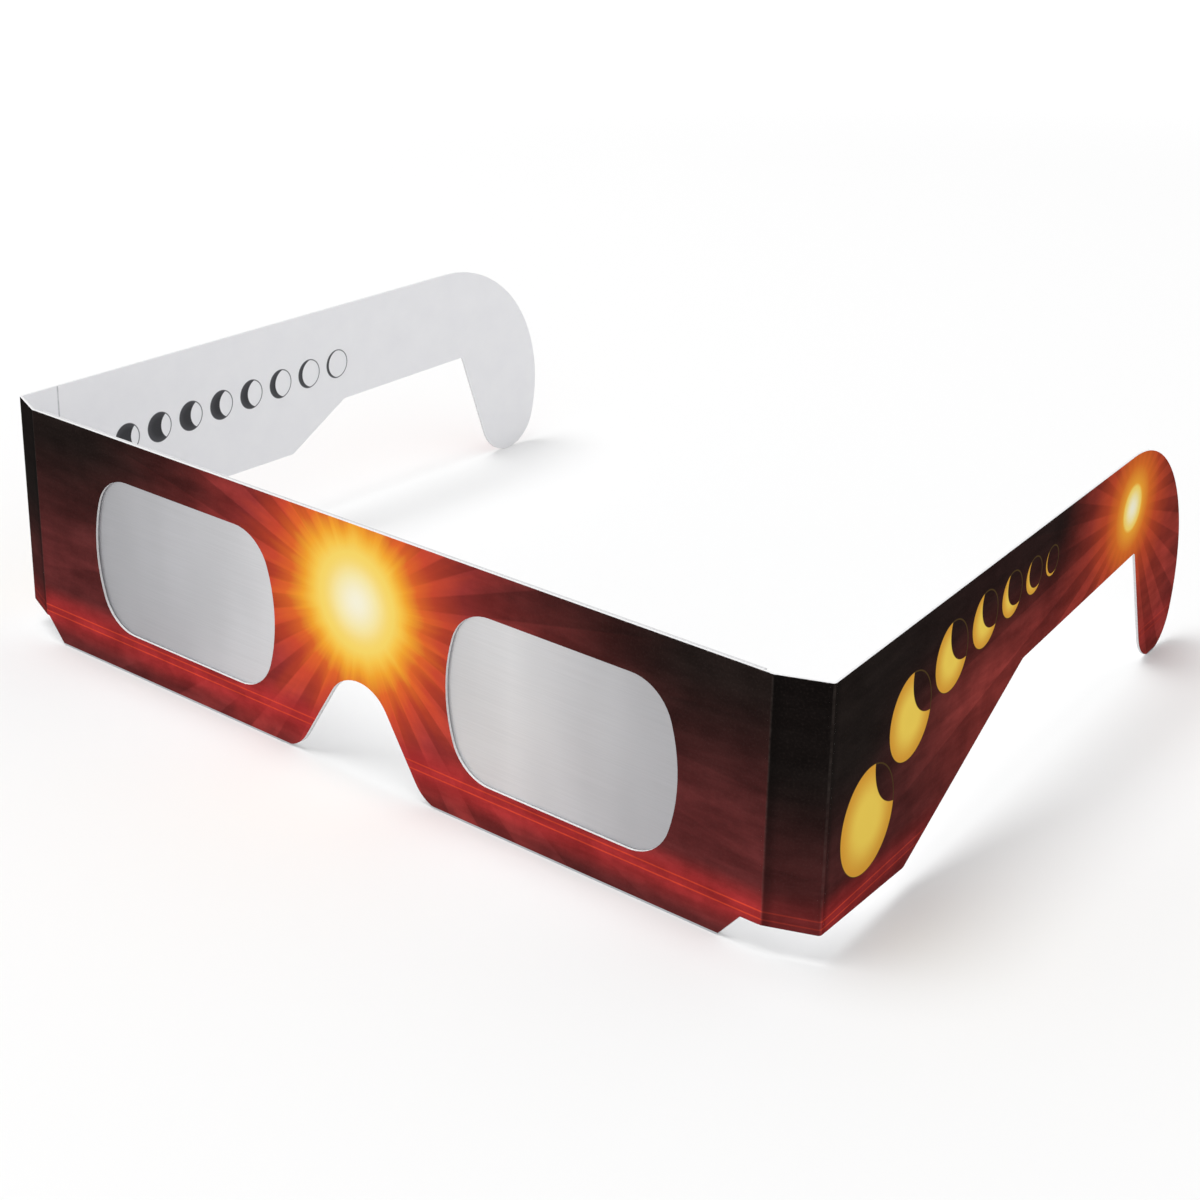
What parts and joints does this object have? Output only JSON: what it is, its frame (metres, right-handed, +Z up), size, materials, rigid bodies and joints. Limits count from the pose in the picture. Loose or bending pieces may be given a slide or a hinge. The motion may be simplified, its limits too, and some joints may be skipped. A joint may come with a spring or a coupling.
{
  "type": "folded card solar viewer glasses",
  "caption": "Folded card glasses with silver filter film behind the windows, a nose arch and creased temples with ear hooks, standing open.",
  "frame": {"origin": "bottom centre of the bounding box, on the plane that the front's lower edge and the two hooks stand on", "axes": "+Z up, +X to the wearer's left along the front, which faces -Y; the temples run towards +Y"},
  "size_m": [0.1604, 0.1259, 0.038],
  "materials": {
    "printed_card": "satin printed",
    "white_card": "matte",
    "filter_film": "metallised satin",
    "adhesive": "clear"
  },
  "bodies": {
    "front": {"front_panel": "printed_card", "back_panel": "white_card", "panel_glue": "adhesive", "left_filter": "filter_film", "right_filter": "filter_film", "left_filter_bond": "adhesive", "right_filter_bond": "adhesive"},
    "left_corner": {"left_corner_strip": "printed_card"},
    "left_arm": {"left_temple": "printed_card"},
    "right_corner": {"right_corner_strip": "printed_card"},
    "right_arm": {"right_temple": "printed_card"}
  },
  "joints": [
    {"name": "left_front_crease", "type": "hinge", "parent": "front", "child": "left_corner", "pos_m": [-0.06885, -0.06275, 0.021], "axis": [0, 0, -1], "range_deg": [-22, 68]},
    {"name": "left_temple_crease", "type": "hinge", "parent": "left_corner", "child": "left_arm", "pos_m": [-0.07572, -0.05998, 0.021], "axis": [0, 0, -1], "range_deg": [-66, 14]},
    {"name": "right_front_crease", "type": "hinge", "parent": "front", "child": "right_corner", "pos_m": [0.07315, -0.06275, 0.021], "axis": [0, 0, 1], "range_deg": [-22, 68]},
    {"name": "right_temple_crease", "type": "hinge", "parent": "right_corner", "child": "right_arm", "pos_m": [0.08001, -0.05998, 0.021], "axis": [0, 0, 1], "range_deg": [-77, 13]}
  ]
}
